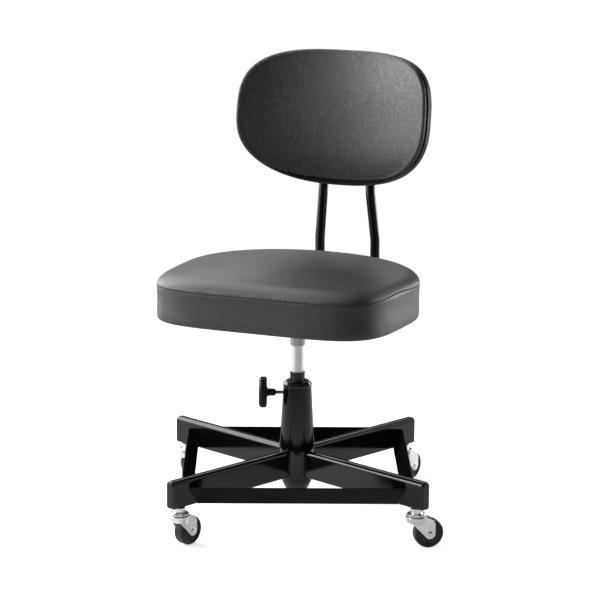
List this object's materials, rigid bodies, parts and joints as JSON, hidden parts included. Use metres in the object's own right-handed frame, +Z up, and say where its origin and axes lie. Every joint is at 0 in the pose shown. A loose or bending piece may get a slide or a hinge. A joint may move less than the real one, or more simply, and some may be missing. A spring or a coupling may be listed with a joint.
{
  "type": "work chair",
  "caption": "Swivel work chair: upholstered seat and curved backrest pad on bent rods, clamped height post, welded cross base with straps and swivel casters.",
  "frame": {"origin": "on the floor under the middle of the chair's bounding box", "axes": "+Z up along the column; the base's front, as pictured, faces -Y and its right is +X; the seat is turned 23 degrees towards -X"},
  "size_m": [0.4828, 0.4866, 0.7853],
  "materials": {
    "black_paint": "gloss",
    "bright_plate": "polished",
    "zinc_plate": "satin",
    "grey_steel": "matte",
    "dark_sleeve": "satin",
    "black_plastic": "satin",
    "black_rubber": "matte",
    "black_vinyl": "satin",
    "plywood": "matte"
  },
  "bodies": {
    "base": {"hub": "black_paint", "hub_cup": "black_paint", "leg_fl": "black_paint", "leg_fr": "black_paint", "leg_bl": "black_paint", "leg_br": "black_paint", "leg_socket_fl": "grey_steel", "leg_socket_fr": "grey_steel", "leg_socket_bl": "grey_steel", "leg_socket_br": "grey_steel", "strap_front": "black_paint", "strap_right": "black_paint", "strap_back": "black_paint", "strap_left": "black_paint", "column_cone": "black_paint", "guide_tube": "black_paint", "cap_collar": "black_paint", "cap_screw_left": "zinc_plate", "cap_screw_right": "zinc_plate", "guide_sleeve": "dark_sleeve", "caster_stem_fl": "zinc_plate", "caster_stem_fr": "zinc_plate", "caster_stem_bl": "zinc_plate", "caster_stem_br": "zinc_plate"},
    "post": {"post": "bright_plate", "thrust_bearing": "grey_steel"},
    "seat": {"seat_hub": "grey_steel", "hub_grub_screw": "grey_steel", "seat_plate": "black_paint", "seat_board": "plywood", "seat_cushion": "black_vinyl", "rod_left": "black_paint", "rod_right": "black_paint", "rod_bar_front": "black_paint", "rod_bar_rear": "black_paint", "rod_bolt_front_left": "zinc_plate", "rod_bolt_front_right": "zinc_plate", "rod_bolt_rear_left": "zinc_plate", "rod_bolt_rear_right": "zinc_plate", "back_cushion": "black_vinyl", "back_board": "plywood", "back_shell": "black_vinyl", "rod_clip_left": "black_paint", "rod_clip_right": "black_paint"},
    "clamp_shoe": {"clamp_shoe": "grey_steel"},
    "clamp_screw": {"clamp_knob": "black_plastic", "clamp_stud": "zinc_plate"},
    "caster_fl": {"caster_fork_fl": "zinc_plate", "caster_axle_fl": "zinc_plate"},
    "wheel_fl": {"caster_wheel_fl": "black_rubber"},
    "caster_fr": {"caster_fork_fr": "zinc_plate", "caster_axle_fr": "zinc_plate"},
    "wheel_fr": {"caster_wheel_fr": "black_rubber"},
    "caster_bl": {"caster_fork_bl": "zinc_plate", "caster_axle_bl": "zinc_plate"},
    "wheel_bl": {"caster_wheel_bl": "black_rubber"},
    "caster_br": {"caster_fork_br": "zinc_plate", "caster_axle_br": "zinc_plate"},
    "wheel_br": {"caster_wheel_br": "black_rubber"}
  },
  "joints": [
    {"name": "height_slide", "type": "slide", "parent": "base", "child": "post", "axis": [0, 0, 1], "range_m": [-0.04, 0.08]},
    {"name": "seat_swivel", "type": "hinge", "parent": "post", "child": "seat", "pos_m": [-0.002, -0.011, 0.3], "axis": [0, 0, 1], "continuous": true},
    {"name": "clamp_feed", "type": "slide", "parent": "base", "child": "clamp_shoe", "axis": [-1, 0, 0], "range_m": [0, 0.00125]},
    {"name": "knob_turn", "type": "hinge", "parent": "clamp_shoe", "child": "clamp_screw", "pos_m": [-0.052, -0.011, 0.2153], "axis": [-1, 0, 0], "range_deg": [0, 360]},
    {"name": "caster_swivel_fl", "type": "hinge", "parent": "base", "child": "caster_fl", "pos_m": [-0.199, -0.208, 0.0554], "axis": [0, 0, 1], "continuous": true},
    {"name": "wheel_roll_fl", "type": "hinge", "parent": "caster_fl", "child": "wheel_fl", "pos_m": [-0.18522, -0.19215, 0.025], "axis": [-0.7547, 0.6561, 0], "continuous": true},
    {"name": "caster_swivel_fr", "type": "hinge", "parent": "base", "child": "caster_fr", "pos_m": [0.195, -0.208, 0.0554], "axis": [0, 0, 1], "continuous": true},
    {"name": "wheel_roll_fr", "type": "hinge", "parent": "caster_fr", "child": "wheel_fr", "pos_m": [0.21528, -0.20256, 0.025], "axis": [-0.2588, 0.9659, 0], "continuous": true},
    {"name": "caster_swivel_bl", "type": "hinge", "parent": "base", "child": "caster_bl", "pos_m": [-0.199, 0.186, 0.0554], "axis": [0, 0, 1], "continuous": true},
    {"name": "wheel_roll_bl", "type": "hinge", "parent": "caster_bl", "child": "wheel_bl", "pos_m": [-0.20083, 0.20692, 0.025], "axis": [-0.9962, -0.0872, 0], "continuous": true},
    {"name": "caster_swivel_br", "type": "hinge", "parent": "base", "child": "caster_br", "pos_m": [0.195, 0.186, 0.0554], "axis": [0, 0, 1], "continuous": true},
    {"name": "wheel_roll_br", "type": "hinge", "parent": "caster_br", "child": "wheel_br", "pos_m": [0.20793, 0.20255, 0.025], "axis": [-0.788, 0.6157, 0], "continuous": true}
  ],
  "couplings": [
    {"joint": "clamp_feed", "follows": "knob_turn", "m_per_rad": 0.00019894}
  ]
}
